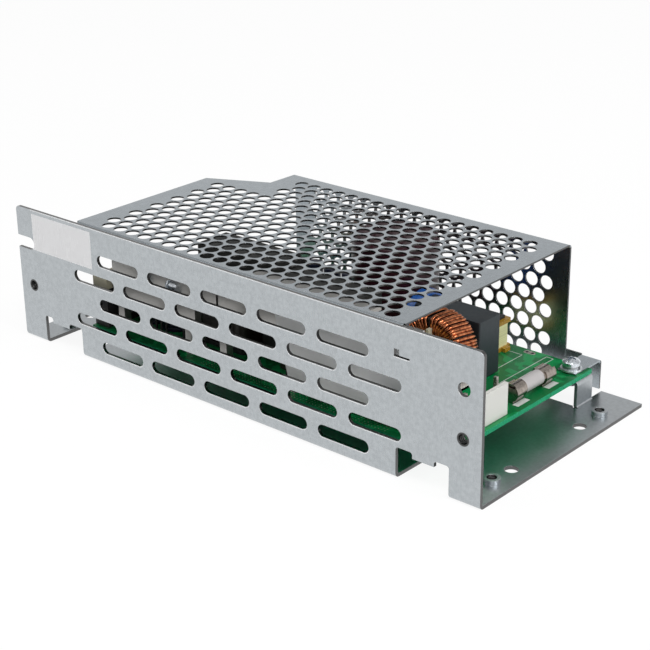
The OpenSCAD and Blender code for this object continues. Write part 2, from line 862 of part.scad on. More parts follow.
// Primary heatsink: a stepped plate with its top folded back
module primary_heatsink() {
    color("lightgray") place() {
        wall_y(sink_y0, sink_t) {
            rect(primary_x0, primary_x1, primary_step_z, sink_top);
            rect(primary_low_x0, primary_x1, board_z1 + 2.5, primary_step_z);
            for (x = [primary_low_x0, primary_x1 - sink_leg_w])
                rect(x, x + sink_leg_w, board_z1, board_z1 + 2.5);
        }
        block(primary_flange_x0, primary_flange_x1, sink_y1, sink_y0 + primary_flange_w,
            sink_top - primary_flange_t, sink_top);
        block(primary_x0, primary_x0 + sink_leg_w, sink_y0, sink_y1, board_z1, primary_step_z);
    }
}

// Moulded body of a power device, its back on the plane y = sink_y1, its foot at z0
module device_body(x, z0) {
    block(x - device_w / 2, x + device_w / 2, sink_y1 + device_tab_t, sink_y1 + device_tab_t + device_t,
        z0, z0 + device_h - device_tab_h);
    for (i = [-1:1])
        block(x + i * device_lead_pitch - device_lead_w / 2, x + i * device_lead_pitch + device_lead_w / 2,
            sink_y1 + device_tab_t + device_lead_dy, sink_y1 + device_tab_t + device_lead_dy + device_lead_t,
            board_z1, z0 + eps);
}

// Metal back of a power device, with its screw hole
module device_tab(x, z0) {
    wall_y(sink_y1, device_tab_t) difference() {
        rect(x - device_w / 2, x + device_w / 2, z0, z0 + device_h);
        translate([x, z0 + device_h - device_tab_h / 2]) circle(tap_r);
    }
}

module primary_transistors() {
    color("#222222") place() for (x = primary_devices) device_body(x, primary_device_z);
}

module transistor_tabs() {
    color("silver") place() for (x = primary_devices) device_tab(x, primary_device_z);
}

module output_rectifiers() {
    color("#222222") place() for (x = secondary_devices) device_body(x, secondary_hole_z - device_hole_up);
}

module rectifier_tabs() {
    color("silver") place() for (x = secondary_devices) device_tab(x, secondary_hole_z - device_hole_up);
}

module bridge_rectifier() {
    z0 = board_z1 + bridge_lift;
    color("#1c1c1c") place() {
        wall_y(sink_y1, bridge_t) difference() {
            rect(bridge_x0, bridge_x0 + bridge_l, z0, z0 + bridge_h);
            translate([bridge_x0, z0 + bridge_h]) rotate([0, 0, 45]) square(3, center = true);
            translate([bridge_x0 + bridge_l / 2, z0 + bridge_h - 5]) circle(1.6);
        }
        for (i = [0:3])
            block(bridge_x0 + 2.6 + i * 5, bridge_x0 + 3.6 + i * 5, sink_y1 + 1.4, sink_y1 + 2, board_z1, z0 + eps);
    }
}

module secondary_heatsink() {
    color("lightgray") place() wall_y(sink_y0, sink_t) difference() {
        union() {
            rect(secondary_x0, secondary_x1, primary_step_z, sink_top);
            rect(secondary_x0, secondary_low_x1, secondary_low_z, primary_step_z);
            for (x = [secondary_x0 + 2, secondary_low_x1 - 2 - sink_leg_w])
                rect(x, x + sink_leg_w, board_z1, secondary_low_z);
        }
        for (x = secondary_devices) translate([x, secondary_hole_z]) circle(tap_r);
    }
}

// Screws that hold the output rectifiers, heads on the heatsink's front face
module heatsink_screws() {
    color("lightgray") place() for (x = secondary_devices)
        translate([x, sink_y0, secondary_hole_z]) rotate([90, 0, 0]) pan_screw(sink_t + device_tab_t);
}

// A wound component: two end flanges on a foot, drawn along Z
module bobbin(x0, y0, l, w, z0, h, t) {
    for (z = [z0, z0 + h - t]) plate(z, t) round_rect(x0, x0 + l, y0, y0 + w, bobbin_round);
    plate(z0, h) rect(x0 + l / 2 - t, x0 + l / 2 + t, y0 + t, y0 + w - t);
}

// An E core pair seen from outside: a frame in X and Z that closes round the bobbin
module e_core(x0, y0, l, w, z0, h, depth, t) {
    y_mid = y0 + w / 2;
    wall_y(y_mid - depth / 2, depth) difference() {
        rect(x0 - t, x0 + l + t, z0, z0 + h + t);
        rect(x0, x0 + l, z0 - 1, z0 + h);
    }
}

module transformer_bobbin() {
    color("#2a2a2a") place()
        bobbin(trafo_x0, trafo_y0, trafo_l, trafo_w, board_z1, trafo_h - trafo_core_t, trafo_flange_t);
}

module transformer_tape() {
    color("khaki") place() difference() {
        plate(board_z1 + trafo_flange_t, trafo_h - trafo_core_t - 2 * trafo_flange_t)
            round_rect(trafo_x0 + 1, trafo_x0 + trafo_l - 1, trafo_y0 + 1, trafo_y0 + trafo_w - 1, trafo_round);
        plate(board_z1, trafo_h)
            rect(trafo_x0 + trafo_l / 2 - trafo_flange_t, trafo_x0 + trafo_l / 2 + trafo_flange_t,
                trafo_y0 + trafo_flange_t, trafo_y0 + trafo_w - trafo_flange_t);
    }
}

module transformer_core() {
    color("#3c3c40") place()
        e_core(trafo_x0, trafo_y0, trafo_l, trafo_w, board_z1, trafo_h - trafo_core_t, trafo_core_w, trafo_core_t);
}

module boost_choke_winding() {
    color("#5a3a22") place() plate(board_z1, boost_h - boost_core_t)
        round_rect(boost_x0 + boost_core_t, boost_x0 + boost_l - boost_core_t,
            boost_y0, boost_y0 + boost_w, boost_round);
}

module boost_choke_core() {
    color("#2c2c30") place()
        e_core(boost_x0 + boost_core_t, boost_y0, boost_l - 2 * boost_core_t, boost_w, board_z1,
            boost_h - boost_core_t, boost_core_w, boost_core_t);
}

module film_capacitor() {
    color("gold") place() plate(board_z1, film_h)
        round_rect(film_x0, film_x0 + film_l, film_y0, film_y0 + film_w, film_round);
}

module output_capacitors() {
    color("#1b2a4a") place() for (x = outcap_x, y = outcap_y)
        translate([x, y, board_z1]) can(outcap_d, outcap_h, outcap_round, outcap_groove);
}

// Section of the output choke's ring, grown by g
module ring_section(g) {
    round_rect(ring_hole_r - g, ring_r + g, -ring_h / 2 - g, ring_h / 2 + g, 0.8 + g);
}

module at_ring() {
    translate([ring_x, ring_y, board_z1 + ring_h / 2 + ring_wire]) children();
}

module output_choke_core() {
    color("#c8b400") place() at_ring() rotate_extrude() ring_section(0);
}

module output_choke_winding() {
    step = 330 / ring_turns;
    color("sienna") place() at_ring() for (i = [0:ring_turns - 1])
        rotate([0, 0, i * step]) rotate_extrude(angle = step * ring_turn_share) difference() {
            ring_section(ring_wire);
            ring_section(0);
        }
}

// Output header: an open box with a row of pins
module output_connector() {
    color("beige") place() difference() {
        block(outlet_x0, outlet_x1, outlet_y0, outlet_y1, board_z1, board_z1 + outlet_h);
        block(outlet_x0 + outlet_wall, outlet_x1 - outlet_wall, outlet_y0 + outlet_wall, outlet_y1 - outlet_wall,
            board_z1 + outlet_base_h, board_z1 + outlet_h + 1);
        for (i = [0:outlet_pins - 1]) outlet_pin(i);
    }
}

module outlet_pin(i) {
    x = (outlet_x0 + outlet_x1) / 2;
    y = (outlet_y0 + outlet_y1) / 2 + (i - (outlet_pins - 1) / 2) * outlet_pin_pitch;
    block(x - outlet_pin_w / 2, x + outlet_pin_w / 2, y - outlet_pin_w / 2, y + outlet_pin_w / 2,
        board_z1, board_z1 + outlet_pin_h);
}

module output_pins() {
    color("silver") place() for (i = [0:outlet_pins - 1]) outlet_pin(i);
}

module inrush_thermistor() {
    z_mid = board_z1 + 1.5 + thermistor_r;
    color("#1f3a2a") place() {
        translate([thermistor_x, thermistor_y, z_mid]) rotate([0, 90, 0]) dipped_disc(thermistor_r, thermistor_t);
        for (s = [-1, 1]) translate([thermistor_x, thermistor_y + s * 2.5, board_z1])
            cylinder(r = lead_r, h = z_mid - board_z1);
    }
}

// A chip in a dual in-line case, on its two rows of legs
module chip(x, y, l, w, h, legs) {
    block(x, x + l, y, y + w, board_z1 + chip_lift, board_z1 + h);
    for (i = [0:legs - 1], s = [0, 1]) {
        lx = x + l / 2 + (i - (legs - 1) / 2) * 2.54;
        ly = s == 0 ? y - 0.3 : y + w;
        block(lx - 0.3, lx + 0.3, ly, ly + 0.3, board_z1, board_z1 + h / 2);
    }
}

module control_chips() {
    color("#202020") place() for (i = [0:chip_count - 1])
        chip(control_x0 + i * (chip_l + chip_gap), chip_y, chip_l, chip_w, chip_h, 4);
}

module optocoupler() {
    color("#e8e4da") place() chip(opto_x, chip_y, opto_w, opto_l, opto_h, 2);
}

module power_resistors() {
    z_mid = board_z1 + resistor_r;
    color("#7aa0b0") place() for (i = [0:resistor_columns - 1], y = resistor_y)
        translate([resistor_x0 + i * resistor_pitch, y, 0]) {
            translate([0, 0, z_mid]) rotate([0, 90, 0]) cylinder(r = resistor_r, h = resistor_l, center = true);
            for (s = [-1, 1]) translate([s * resistor_span / 2, 0, 0]) {
                translate([0, 0, z_mid]) rotate([0, -s * 90, 0])
                    cylinder(r = lead_r, h = (resistor_span - resistor_l) / 2 + eps);
                translate([0, 0, board_z1]) cylinder(r = lead_r, h = resistor_r + lead_r);
            }
        }
}

module small_capacitors() {
    color("#23305a") place() for (i = [0:smallcap_count - 1])
        translate([control_x1 - smallcap_d / 2 - i * smallcap_pitch, smallcap_y, board_z1])
            can(smallcap_d, smallcap_h, smallcap_round, smallcap_groove);
}

chassis();
cover_top();
cover_rear_wall();
cover_flange();
cover_tabs();
circuit_board();
board_standoffs();
board_screws();
board_lock_washers();
board_flat_washers();
input_connector();
input_pins();
fuse_tube();
fuse_caps();
fuse_clips();
x_capacitor();
choke_core();
choke_windings();
choke_divider();
choke_base();
tape_choke_bobbin();
tape_choke_core();
tape_choke_tape();
surge_absorber();
surge_absorber_leads();
bulk_capacitor();
primary_heatsink();
primary_transistors();
transistor_tabs();
bridge_rectifier();
transformer_core();
transformer_bobbin();
transformer_tape();
secondary_heatsink();
output_rectifiers();
rectifier_tabs();
heatsink_screws();
output_capacitors();
output_choke_core();
output_choke_winding();
output_connector();
output_pins();
boost_choke_core();
boost_choke_winding();
film_capacitor();
inrush_thermistor();
control_chips();
optocoupler();
power_resistors();
small_capacitors();
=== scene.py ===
import json

import bpy
import numpy as np
from mathutils import Euler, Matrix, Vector


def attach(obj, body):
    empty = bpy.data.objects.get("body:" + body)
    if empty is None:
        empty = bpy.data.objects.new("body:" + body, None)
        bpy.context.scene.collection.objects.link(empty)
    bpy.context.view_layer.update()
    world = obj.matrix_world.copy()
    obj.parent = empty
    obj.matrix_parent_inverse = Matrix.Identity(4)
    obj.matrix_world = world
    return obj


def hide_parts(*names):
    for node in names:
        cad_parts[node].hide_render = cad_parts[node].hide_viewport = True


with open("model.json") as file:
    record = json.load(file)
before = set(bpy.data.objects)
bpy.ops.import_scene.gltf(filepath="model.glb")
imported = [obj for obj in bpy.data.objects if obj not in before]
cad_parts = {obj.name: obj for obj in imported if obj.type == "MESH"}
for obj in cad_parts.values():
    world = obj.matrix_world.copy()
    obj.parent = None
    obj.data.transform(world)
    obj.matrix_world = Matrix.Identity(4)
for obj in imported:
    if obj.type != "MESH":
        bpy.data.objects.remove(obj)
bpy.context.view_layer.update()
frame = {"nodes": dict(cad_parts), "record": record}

MM = 0.001

# Sizes in millimetres. Places are measured from the front wall's left end, as in the drawing.
PANEL_L = 204.4
BASE_D = 90.0
SHEET_T = 1.2
COVER_T = 0.6
COVER_Z1 = 50.0
BOARD_X1 = 189.3
BOARD_Z1 = 12.1
EAR_INSET = 6.6         # from the front wall's ends to the middle of its ears
EAR_THREAD_Z = 21.1
BASE_THREAD_Y = (15, 74.5)
THREAD_R = 1.65
THREAD_DEPTH = 2.7
THREAD_PITCH = 0.7
FILM_X = (8.3, 39.3)    # the bare film on the front wall
FILM_Z = (35, 48.5)

# The same from the middle of the base, where the finishes measure from
HALF_L = PANEL_L / 2
FRONT_Y = -BASE_D / 2
REAR_Y = BASE_D / 2

scene = bpy.context.scene
rng = np.random.default_rng(11)


def at(points):
    """Millimetres from the front wall's left end, as metres from the middle of the base."""
    return (np.asarray(points, float) - (HALF_L, REAR_Y, 0)) * MM


# Shader maths written as expressions

class Value:
    """A socket of a node tree: + - * on it add Math nodes."""

    def __init__(self, tree, socket):
        self.tree = tree
        self.socket = socket

    def _math(self, operation, first, second):
        return self.tree.node("ShaderNodeMath", {"operation": operation}, {0: first, 1: second})

    def __add__(self, other):
        return self._math("ADD", self, other)

    def __sub__(self, other):
        return self._math("SUBTRACT", self, other)

    def __rsub__(self, other):
        return self._math("SUBTRACT", other, self)

    def __mul__(self, other):
        return self._math("MULTIPLY", self, other)


class Tree:
    """A node tree, with one method that adds any node to it."""

    def __init__(self, node_tree):
        self.nodes = node_tree.nodes
        self.links = node_tree.links

    def node(self, kind, settings=None, inputs=None, output=0):
        """Adds a node, sets its settings, fills or links its sockets, and returns one of its outputs."""
        made = self.nodes.new(kind)
        for key, value in (settings or {}).items():
            setattr(made, key, value)
        for key, value in (inputs or {}).items():
            self.feed(made.inputs[key], value)
        return Value(self, made.outputs[output])

    def feed(self, socket, value):
        """Links a value to a socket, or types a constant into it."""
        if isinstance(value, Value):
            self.links.new(value.socket, socket)
        else:
            socket.default_value = value


class Finish(Tree):
    """A material in the making, with the patterns that its finish is mixed from."""

    def __init__(self, name, **constants):
        self.material = bpy.data.materials.new(name)
        self.material.use_nodes = True
        super().__init__(self.material.node_tree)
        self.shader = self.nodes["Principled BSDF"]
        for key, value in constants.items():
            self.shader.inputs[key.replace("_", " ")].default_value = value

    def set(self, name, value):
        """Gives a value to the main shader's input of this name."""
        self.feed(self.shader.inputs[name], value)

    def place(self, stretch=(1, 1, 1)):
        """Object coordinates in millimetres, stretched along the axes."""
        where = self.node("ShaderNodeTexCoord", output="Object")
        return self.node("ShaderNodeVectorMath", {"operation": "MULTIPLY"},
                         {0: where, 1: tuple(s / MM for s in stretch)})

    def part(self, vector, name):
        """The X, Y or Z part of a vector."""
        return self.node("ShaderNodeSeparateXYZ", {}, {"Vector": vector}, name)

    def axis(self, name):
        """The place along X, Y or Z in millimetres, from the middle of the base."""
        return self.part(self.place(), name)

    def facing(self, name):
        """How much the surface faces along X, Y or Z, from -1 to 1."""
        return self.part(self.node("ShaderNodeNewGeometry", output="Normal"), name)

    def rounded(self, radius, samples=6):
        """The normal of the surface with its sharp edges rounded by a radius in millimetres."""
        return self.node("ShaderNodeBevel", {"samples": samples}, {"Radius": radius * MM})

    def noise(self, size, detail, stretch=(1, 1, 1)):
        """A soft random pattern from 0 to 1 whose patches are about size millimetres wide."""
        return self.node("ShaderNodeTexNoise", {},
                         {"Vector": self.place(stretch), "Scale": 1 / size, "Detail": detail}, "Fac")

    def cells(self, size, stretch):
        """A random grey for each cell of a Voronoi pattern with cells of about size millimetres."""
        colour = self.node("ShaderNodeTexVoronoi", {},
                           {"Vector": self.place(stretch), "Scale": 1 / size}, "Color")
        return self.node("ShaderNodeSeparateColor", {}, {"Color": colour})

    def ramp(self, value, low, high):
        """0 below low, 1 above high, and straight in between; falling where low is the larger."""
        return self.node("ShaderNodeMapRange", {"clamp": True},
                         {"Value": value, "From Min": low, "From Max": high})

    def within(self, value, low, high, soft=0.02):
        """1 between low and high, and 0 outside, over a soft border."""
        return self.ramp(value, low - soft, low) * self.ramp(value, high + soft, high)

    def magnitude(self, value):
        """The value without its sign."""
        return self.node("ShaderNodeMath", {"operation": "ABSOLUTE"}, {0: value})

    def across(self, name):
        """1 on faces that don't face along the axis, either way."""
        return self.ramp(self.magnitude(self.facing(name)), 0.6, 0.4)

    def rims(self, width):
        """1 on a sharp edge and 0 from width millimetres away, where the rounded normal is the face's own."""
        face = self.node("ShaderNodeNewGeometry", output="True Normal")
        agreement = self.node("ShaderNodeVectorMath", {"operation": "DOT_PRODUCT"},
                              {0: face, 1: self.rounded(width)}, "Value")
        return self.ramp(agreement, 0.995, 0.8)

    def mix(self, factor, first, second):
        """The first colour where the factor is 0, and the second where it is 1."""
        # The node has sockets for each data type: its colours go in at 6 and 7 and come out at 2
        return self.node("ShaderNodeMix", {"data_type": "RGBA"},
                         {0: factor, 6: rgba(first), 7: rgba(second)}, 2)

    def bump(self, height, depth, edge=0.0):
        """A bump from a height pattern, depth millimetres deep, over edges rounded by edge millimetres."""
        inputs = {"Height": height, "Distance": depth * MM}
        if edge:
            inputs["Normal"] = self.rounded(edge, samples=4)
        self.set("Normal", self.node("ShaderNodeBump", {}, inputs))


def rgba(colour):
    """A colour as its socket takes it: three numbers get an alpha, and a value stays."""
    return colour if isinstance(colour, Value) else (*colour, 1.0)


def darker(colour, share):
    """A colour brought down to a share of its strength."""
    return tuple(share * c for c in colour)


# Finishes

def zinc_sheet(name, colour, roughness, specks):
    """Galvanised sheet: a soft cloud with fine lines of rolling, small dark specks, and rims made lighter,
    partly as edge wear and partly as a painted edge highlight.

    Returns the finish with its colour and its roughness, for the caller to set.
    """
    f = Finish(name, Metallic=1.0)
    lines = f.noise(0.35, 2, stretch=(1, 0.1, 0.1))
    grain = lines * 0.3 + f.noise(1.3, 5) * 0.7
    cloud = f.mix(f.ramp(grain, 0.38, 0.62), darker(colour, 0.88), colour)
    dots = f.ramp(f.noise(0.45, 1, stretch=(1, 0.5, 0.5)), 0.72, 0.77) * specks
    # Lighter rims: partly edge wear, partly a painted highlight on the sheet's edges
    sheet = f.mix(f.rims(0.2) * 0.2, f.mix(dots, cloud, darker(colour, 0.4)), (0.85, 0.87, 0.88))
    f.bump(grain, 0.005, 0.2)
    return f, sheet, f.ramp(f.noise(9, 2), 0.3, 0.7) * 0.04 + lines * 0.05 + roughness


def chassis_sheet(name, colour, roughness):
    """Zinc sheet with sheared edges painted near black, as darker bare steel and painted shade; a painted
    highlight on the front edges that lean up; a painted shade ring round the ears' tapped holes; and a bare
    white film in front.
    """
    f, sheet, rough = zinc_sheet(name, colour, roughness, 0.25)
    x, y, z = f.axis("X"), f.axis("Y"), f.axis("Z")
    front = f.ramp(y, FRONT_Y + 0.1, FRONT_Y)
    wall = f.ramp(y, FRONT_Y + SHEET_T + 0.1, FRONT_Y + SHEET_T)
    base = f.ramp(z, SHEET_T + 0.1, SHEET_T) * (1 - wall)
    # Painted shade: the sheared faces of the wall and of the base are near black, partly as darker bare steel
    # and partly as the shade in the slots and in the groove under the cover
    sheet = f.mix(wall * f.across("Y") + base * f.across("Z"), sheet, (0.13, 0.13, 0.13))

    ears_x = 94
    between_ears = f.ramp(f.magnitude(x), ears_x + 1, ears_x)
    # Painted highlight: the front edges whose rounded normal leans up are bright and matt, as if lit from
    # above
    painted_edge_highlight = front * between_ears * f.ramp(f.part(f.rounded(0.8), "Z"), 0.15, 0.35)
    sheet = f.mix(painted_edge_highlight, sheet, (0.95, 0.96, 0.97))

    shade_ring_r = 2.1
    from_hole = f.node("ShaderNodeCombineXYZ", {},
                       {"X": f.magnitude(x) - (HALF_L - EAR_INSET), "Z": z - EAR_THREAD_Z})
    reach = f.node("ShaderNodeVectorMath", {"operation": "LENGTH"}, {0: from_hole}, "Value")
    # Painted shade: a dark ring round the mouth of each ear's tapped hole
    sheet = f.mix(front * f.ramp(reach, shade_ring_r + 0.2, shade_ring_r), sheet, (0.08, 0.08, 0.08))

    film = f.within(x, FILM_X[0] - HALF_L, FILM_X[1] - HALF_L) * f.within(z, *FILM_Z) * front
    f.set("Base Color", f.mix(film, sheet, (0.80, 0.80, 0.81)))
    f.set("Metallic", 1 - film - painted_edge_highlight * 0.8)
    f.set("Roughness", rough + (1 - wall) * 0.07)
    return f.material


def cover_sheet(name, colour, roughness):
    """Zinc sheet whose sheared edges on the top and the rear wall, and in their holes, are painted near
    black, as darker bare steel and painted shade in the holes.
    """
    f, sheet, rough = zinc_sheet(name, colour, roughness, 0.3)
    y, z = f.axis("Y"), f.axis("Z")
    top_z, rear_y = COVER_Z1 - COVER_T, REAR_Y - COVER_T
    top = f.ramp(z, top_z - 0.1, top_z) * f.ramp(y, rear_y - 0.3, rear_y - 0.4) * f.across("Z")
    rear = f.ramp(y, rear_y - 0.1, rear_y) * f.ramp(z, top_z - 0.3, top_z - 0.4) * f.across("Y")
    # Painted shade: the sheared faces are near black, partly as darker bare steel and partly as the shade in
    # the holes
    f.set("Base Color", f.mix(top + rear, sheet, (0.10, 0.10, 0.10)))
    f.set("Roughness", rough)
    return f.material


def plated(name, colour, roughness, edge=0.1):
    """Bright plated metal with a faint cloud in its colour and its gloss."""
    f = Finish(name, Metallic=1.0)
    f.set("Base Color", f.mix(f.ramp(f.noise(0.9, 3), 0.35, 0.65), darker(colour, 0.7), colour))
    f.set("Roughness", f.noise(0.8, 2) * 0.12 + roughness)
    f.bump(f.noise(0.6, 2), 0.005, edge)
    return f.material


def brushed(name, colour, roughness):
    """Bare aluminium sheet with the fine lines of rolling along its length."""
    f = Finish(name, Metallic=0.9)
    lines = f.noise(0.6, 3, stretch=(0.04, 1, 1))
    f.set("Base Color", f.mix(lines, darker(colour, 0.8), colour))
    f.set("Roughness", lines * 0.15 + roughness)
    f.bump(lines, 0.01, 0.12)
    return f.material


def moulded(name, colour, roughness, edge=0.15, shade=0.82):
    """Moulded plastic, ceramic or pressed ferrite: fine grain, and patches in a shade of its colour."""
    f = Finish(name)
    f.set("Base Color", f.mix(f.noise(5, 2), darker(colour, shade), colour))
    f.set("Roughness", f.noise(1.5, 2) * 0.15 + roughness)
    f.bump(f.noise(0.35, 2), 0.012, edge)
    return f.material


def two_tone(name, low_colour, high_colour, split_z, roughness):
    """A moulding in two colours that meet at the height split_z."""
    f = Finish(name)
    colour = f.mix(f.ramp(f.axis("Z"), split_z - 0.02, split_z), low_colour, high_colour)
    f.set("Base Color", f.mix(f.noise(4, 2) * 0.15, colour, (0, 0, 0)))
    f.set("Roughness", f.noise(1.5, 2) * 0.15 + roughness)
    f.bump(f.noise(0.35, 2), 0.012, 0.1)
    return f.material


def dipped(name, colour):
    """A thick glossy epoxy dip that sags a little."""
    f = Finish(name, Coat_Weight=0.4, Coat_Roughness=0.1)
    f.set("Base Color", f.mix(f.noise(3, 2), darker(colour, 0.8), colour))
    f.set("Roughness", f.noise(2, 1) * 0.1 + 0.25)
    f.bump(f.noise(2.2, 1), 0.1)
    return f.material


def sleeve(name, colour, top_z, top_colour):
    """A shrink sleeve that ends in a ring on the can's top, where the bare disc shows above top_z."""
    f = Finish(name, Coat_Weight=0.08, Specular_IOR_Level=0.25)
    f.set("Base Color", f.mix(f.ramp(f.axis("Z"), top_z - 0.02, top_z), colour, top_colour))
    f.set("Roughness", f.noise(1.5, 2) * 0.12 + 0.28)
    f.bump(f.noise(2.5, 1), 0.02)
    return f.material


def taped(name, colour):
    """Layers of thin tape: faint lines round the winding where the layers end."""
    f = Finish(name)
    lines = f.noise(0.5, 1, stretch=(0.05, 0.05, 1.6))
    f.set("Base Color", f.mix(f.ramp(lines, 0.35, 0.65), darker(colour, 0.82), colour))
    f.set("Roughness", f.noise(2, 2) * 0.15 + 0.3)
    f.bump(lines, 0.04)
    return f.material


def copper_wire(name):
    """Copper wire under clear enamel: its own tone on each turn's crest, and painted shade, dark brown, where
    the turns meet.
    """
    f = Finish(name, Metallic=1.0)
    crest = f.node("ShaderNodeAttribute", {"attribute_name": "crest"}, output="Fac")
    tone = f.mix(f.ramp(f.noise(1.4, 3), 0.35, 0.65), (0.26, 0.075, 0.032), (0.74, 0.27, 0.12))
    # Painted shade: dark brown away from each turn's crest, in the grooves where the turns meet
    f.set("Base Color", f.mix(f.ramp(crest, -0.9, 0.7), (0.10, 0.026, 0.012), tone))
    f.set("Roughness", f.noise(0.7, 2) * 0.1 + 0.10)
    return f.material


def solder_mask(name):
    """Green mask over copper tracks, which show as lighter raised paths; an underside painted bright green as
    light coming through the board; a sawn edge.
    """
    f = Finish(name, Coat_Roughness=0.08, Specular_IOR_Level=0.2)
    tracks = f.ramp(f.cells(4.2, (1, 0.4, 1)) * 0.6 + f.cells(2.3, (0.5, 1, 1)) * 0.4, 0.47, 0.50)
    upward = f.facing("Z")
    below = f.ramp(upward, 0.1, -0.1)
    top = f.mix(tracks, (0.001, 0.145, 0.038), (0.004, 0.260, 0.072))
    # Painted light: the underside is far brighter green than the top, as light coming through the board
    under = f.mix(tracks, (0.001, 0.50, 0.20), (0.003, 0.68, 0.30))
    fibres = f.ramp(f.noise(0.5, 3, stretch=(1, 1, 3)), 0.35, 0.65)
    sawn = f.mix(fibres, (0.004, 0.17, 0.07), (0.025, 0.45, 0.21))
    f.set("Base Color", f.mix(1 - f.ramp(upward * upward, 0.2, 0.4), f.mix(below, top, under), sawn))
    f.set("Coat Weight", f.ramp(upward, 0.2, 0.6) * 0.1)
    f.set("Roughness", f.noise(2, 2) * 0.12 + 0.26 + below * 0.5)
    f.bump(tracks, 0.03)
    return f.material


def printed(name, colour):
    """Film or ink: an even tone with a trace of texture."""
    f = Finish(name)
    f.set("Base Color", f.mix(f.noise(3, 2), darker(colour, 0.93), colour))
    f.set("Roughness", f.noise(1, 2) * 0.08 + 0.4)
    return f.material


# Each slot with the function that makes its finish, and the values that this takes

CREAM = (0.60, 0.56, 0.42)
FINISHES = {name: kind(name, *values) for name, kind, *values in (
    ("galvanised_sheet", chassis_sheet, (0.48, 0.51, 0.53), 0.22),
    ("cover_sheet", cover_sheet, (0.39, 0.43, 0.46), 0.22),
    ("solder_mask", solder_mask),
    ("zinc_plate", plated, (0.80, 0.85, 0.90), 0.16),
    ("spring_steel", plated, (0.45, 0.47, 0.49), 0.26),
    ("white_nylon", moulded, (0.72, 0.72, 0.68), 0.45, 0.15, 0.96),
    ("tin_plate", plated, (0.60, 0.58, 0.52), 0.22, 0.05),
    ("fuse_ceramic", moulded, (0.50, 0.48, 0.48), 0.3, 0.15, 0.94),
    ("nickel_plate", plated, (0.42, 0.37, 0.33), 0.12, 0.05),
    ("capacitor_case", moulded, (0.024, 0.033, 0.040), 0.4, 0.3),
    ("ferrite", moulded, (0.022, 0.022, 0.020), 0.5, 0.3),
    ("enamelled_copper", copper_wire),
    ("black_plastic", moulded, (0.012, 0.012, 0.013), 0.4),
    ("amber_resin", moulded, (0.48, 0.26, 0.02), 0.2),
    ("yellow_tape", taped, (0.90, 0.88, 0.48)),
    ("blue_epoxy", dipped, (0.012, 0.13, 0.52)),
    ("maroon_sleeve", sleeve, (0.035, 0.008, 0.014), 47.45, (0.035, 0.008, 0.012)),
    ("heatsink_aluminium", brushed, (0.55, 0.54, 0.52), 0.38),
    ("dark_sleeve", sleeve, (0.012, 0.014, 0.035), 32.05, (0.4, 0.4, 0.4)),
    ("yellow_core", moulded, (0.55, 0.42, 0.03), 0.4),
    ("cream_nylon", moulded, CREAM, 0.45),
    ("dark_winding", taped, (0.02, 0.014, 0.010)),
    ("green_epoxy", dipped, (0.010, 0.045, 0.025)),
    ("resistor_lacquer", moulded, (0.15, 0.28, 0.36), 0.35),
)}
LABEL = printed("label_film", (0.94, 0.94, 0.93))
INK = printed("print_ink", (0.62, 0.66, 0.63))
# Painted shade: the threads are near black, as the insides of the tapped holes lie in shade
THREAD = plated("thread_steel", (0.12, 0.12, 0.12), 0.2, 0.03)

# Nodes that look different from the rest of their slot
NODE_FINISHES = {
    "output_connector": two_tone("output_connector", (0.02, 0.02, 0.02), CREAM, 26.5, 0.45),
    "board_flat_washers": plated("board_flat_washers", (0.86, 0.90, 0.93), 0.4),
}

slots = {part["node"]: part["material_slot"] for part in frame["record"]["subparts"]}
for name, node in frame["nodes"].items():
    for holder in node.material_slots:
        holder.material = NODE_FINISHES.get(name, FINISHES[slots[name]])


# Meshes from whole arrays

def add_mesh(name, points, faces, slot, finish=None, smooth=True):
    """A piece from points in millimetres and faces of any size, in its slot's finish unless given another.

    It rides on the one body.
    """
    mesh = bpy.data.meshes.new(name)
    mesh.from_pydata(at(np.reshape(points, (-1, 3))), [], faces)
    mesh.polygons.foreach_set("use_smooth", np.full(len(mesh.polygons), smooth))
    mesh.materials.append(finish or FINISHES[slot])
    piece = bpy.data.objects.new(name, mesh)
    scene.collection.objects.link(piece)
    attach(piece, "root")
    return piece


def tube_faces(rows, columns, closed):
    """Quads of a rows by columns grid that closes across its columns, and across its rows where closed."""
    r = np.arange(rows if closed else rows - 1)[:, None]
    c = np.arange(columns)[None, :]
    r2, c2 = (r + 1) % rows, (c + 1) % columns
    corners = (r * columns + c, r * columns + c2, r2 * columns + c2, r2 * columns + c)
    return np.stack(corners, -1).reshape(-1, 4)


def many(faces, copies, step):
    """The faces of one shape repeated for copies whose points follow each other, step points apart."""
    return (faces[None] + (np.arange(copies) * step)[:, None, None]).reshape(-1, faces.shape[-1])


def cross_axes(axis):
    """An axis at right angles to X as an array, with the two directions across it: X and the third one."""
    axis = np.asarray(axis, float)
    first = np.array([1.0, 0, 0])
    return axis, first, np.cross(axis, first)


def unit(vectors):
    """The vectors with a length of 1."""
    return vectors / np.linalg.norm(vectors, axis=-1, keepdims=True)


